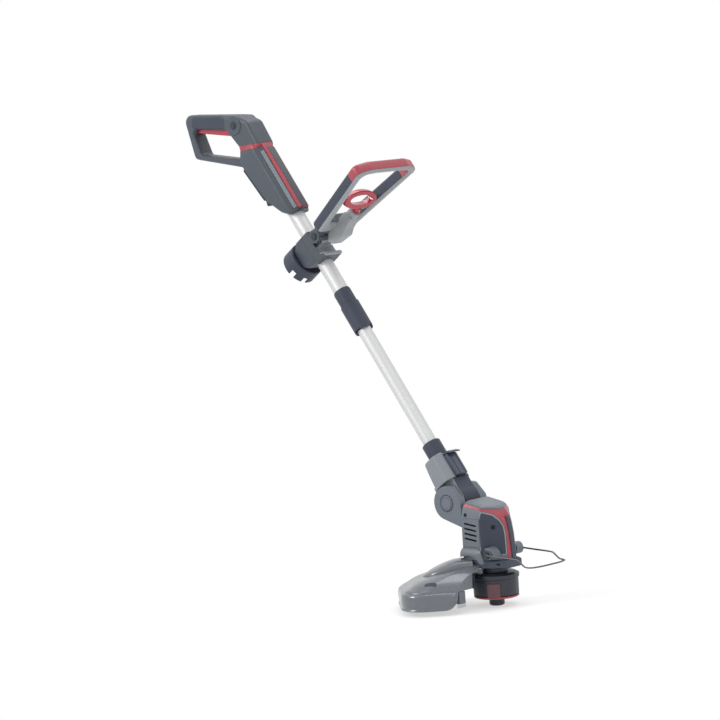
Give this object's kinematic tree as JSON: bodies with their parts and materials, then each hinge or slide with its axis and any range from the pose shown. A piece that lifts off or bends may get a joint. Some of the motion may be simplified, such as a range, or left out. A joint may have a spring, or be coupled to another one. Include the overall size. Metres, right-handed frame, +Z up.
{
  "type": "cordless string trimmer",
  "caption": "Cordless string trimmer: rear grip with battery, tilting front loop handle, telescopic tube, tilting head with bump-feed spool, curved guard and plant-guard wire.",
  "frame": {"origin": "middle of the bump knob's flat bottom face, on the spool axis", "axes": "+Z up along the spool axis, +X forward away from the operator, +Y to the operator's left; the shaft leans back 36 degrees from +Z towards -X"},
  "size_m": [0.8095, 0.228, 0.8579],
  "materials": {
    "slate": "moulded, fine matt grain",
    "navy_soft": "soft overmould, satin",
    "light_grey": "moulded, satin",
    "black": "moulded, satin",
    "red": "moulded, satin",
    "aluminium": "anodised, silver",
    "guard_grey": "silver-grey, polished",
    "steel": "bright",
    "copper": "tinned contacts",
    "line": "nylon line"
  },
  "bodies": {
    "rear_unit": {"accent_band": "red", "battery_terminal_block": "copper", "clamp_front": "slate", "clamp_rear": "slate", "collet": "black", "grip_pad_left": "navy_soft", "grip_pad_right": "navy_soft", "lock_collar": "navy_soft", "rear_housing_left": "slate", "rear_housing_right": "slate", "spare_spool_holder": "navy_soft", "spine_cover": "red", "switch_module": "black", "trigger_pin": "steel", "trigger_spring": "steel", "upper_tube": "aluminium"},
    "head": {"base_flange": "slate", "blade_bracket": "black", "guard": "guard_grey", "guard_well": "black", "head_accent": "red", "head_deck": "slate", "line_cutter_blade": "steel", "motor": "steel", "motor_housing_left": "slate", "motor_housing_right": "slate", "nose_spine": "slate", "spindle_bearing": "steel", "tilt_bolt": "black", "vent_panel_left": "light_grey", "vent_panel_right": "light_grey"},
    "battery": {"battery_case": "black"},
    "battery_latch": {"battery_latch": "black"},
    "bump_knob": {"bump_knob": "black"},
    "spool": {"bump_spring": "steel", "drive_spindle": "steel", "line_reel": "light_grey", "line_winding": "line", "spool_cap": "black", "spool_carrier": "black", "spool_release_ring": "red"},
    "front_handle": {"front_grip_left": "navy_soft", "front_grip_right": "navy_soft", "front_handle_base": "slate", "front_handle_bolt": "black", "front_handle_cap": "red", "front_handle_lower_shell": "light_grey", "release_spring": "steel"},
    "lock_nut": {"lock_nut": "navy_soft"},
    "lock_off": {"lock_off_button": "black"},
    "lower_shaft": {"lower_tube": "aluminium", "tube_socket": "navy_soft"},
    "release_ring": {"release_ring": "red"},
    "swivel": {"swivel_front_cover": "navy_soft", "swivel_shell_left": "slate", "swivel_shell_right": "slate"},
    "swivel_lock": {"swivel_lock_tab": "slate"},
    "tilt_button": {"tilt_button": "slate"},
    "trigger": {"trigger_lever": "red"},
    "wire_guard": {"wire_guard": "steel"}
  },
  "joints": [
    {"name": "trigger_pull", "type": "hinge", "parent": "rear_unit", "child": "trigger", "pos_m": [-0.65043, 0, 0.83744], "axis": [0, -1, 0], "range_deg": [0, 6], "stiffness_Nm_per_rad": 1, "deforming": ["trigger_spring"]},
    {"name": "lock_off_push", "type": "slide", "parent": "rear_unit", "child": "lock_off", "axis": [0, 1, 0], "range_m": [0, 0.003], "stiffness_N_per_m": 200},
    {"name": "battery_slide", "type": "slide", "parent": "rear_unit", "child": "battery", "axis": [-0.809, 0, -0.5878], "range_m": [0, 0.05]},
    {"name": "battery_latch_lift", "type": "hinge", "parent": "battery", "child": "battery_latch", "pos_m": [-0.51049, 0, 0.74025], "axis": [0, 1, 0], "range_deg": [0, 8], "stiffness_Nm_per_rad": 0.6},
    {"name": "front_handle_tilt", "type": "hinge", "parent": "rear_unit", "child": "front_handle", "pos_m": [-0.35747, 0, 0.63512], "axis": [0, 1, 0], "range_deg": [-70, 12]},
    {"name": "release_ring_pull", "type": "slide", "parent": "front_handle", "child": "release_ring", "axis": [-0.809, 0, -0.5878], "range_m": [0, 0.004], "stiffness_N_per_m": 600},
    {"name": "lock_nut_turn", "type": "hinge", "parent": "rear_unit", "child": "lock_nut", "pos_m": [-0.27241, 0, 0.46701], "axis": [-0.5878, 0, 0.809], "range_deg": [0, 90]},
    {"name": "telescope", "type": "slide", "parent": "rear_unit", "child": "lower_shaft", "axis": [-0.5878, 0, 0.809], "range_m": [0, 0.2]},
    {"name": "head_swivel", "type": "hinge", "parent": "lower_shaft", "child": "swivel", "pos_m": [-0.11383, 0, 0.24873], "axis": [-0.5878, 0, 0.809], "range_deg": [0, 180]},
    {"name": "swivel_lock_slide", "type": "slide", "parent": "swivel", "child": "swivel_lock", "axis": [-0.5878, 0, 0.809], "range_m": [0, 0.004]},
    {"name": "head_tilt", "type": "hinge", "parent": "swivel", "child": "head", "pos_m": [-0.07, 0, 0.1765], "axis": [0, 1, 0], "range_deg": [-35, 25]},
    {"name": "tilt_button_push", "type": "slide", "parent": "head", "child": "tilt_button", "axis": [0, 1, 0], "range_m": [0, 0.003], "stiffness_N_per_m": 300},
    {"name": "wire_guard_fold", "type": "hinge", "parent": "head", "child": "wire_guard", "pos_m": [0.021, 0, 0.0935], "axis": [0, 1, 0], "range_deg": [-90, 0]},
    {"name": "spool_spin", "type": "hinge", "parent": "head", "child": "spool", "pos_m": [0, 0, 0.015], "axis": [0, 0, 1], "continuous": true},
    {"name": "bump_feed", "type": "slide", "parent": "spool", "child": "bump_knob", "axis": [0, 0, 1], "range_m": [0, 0.004], "stiffness_N_per_m": 500, "deforming": ["bump_spring"]}
  ]
}
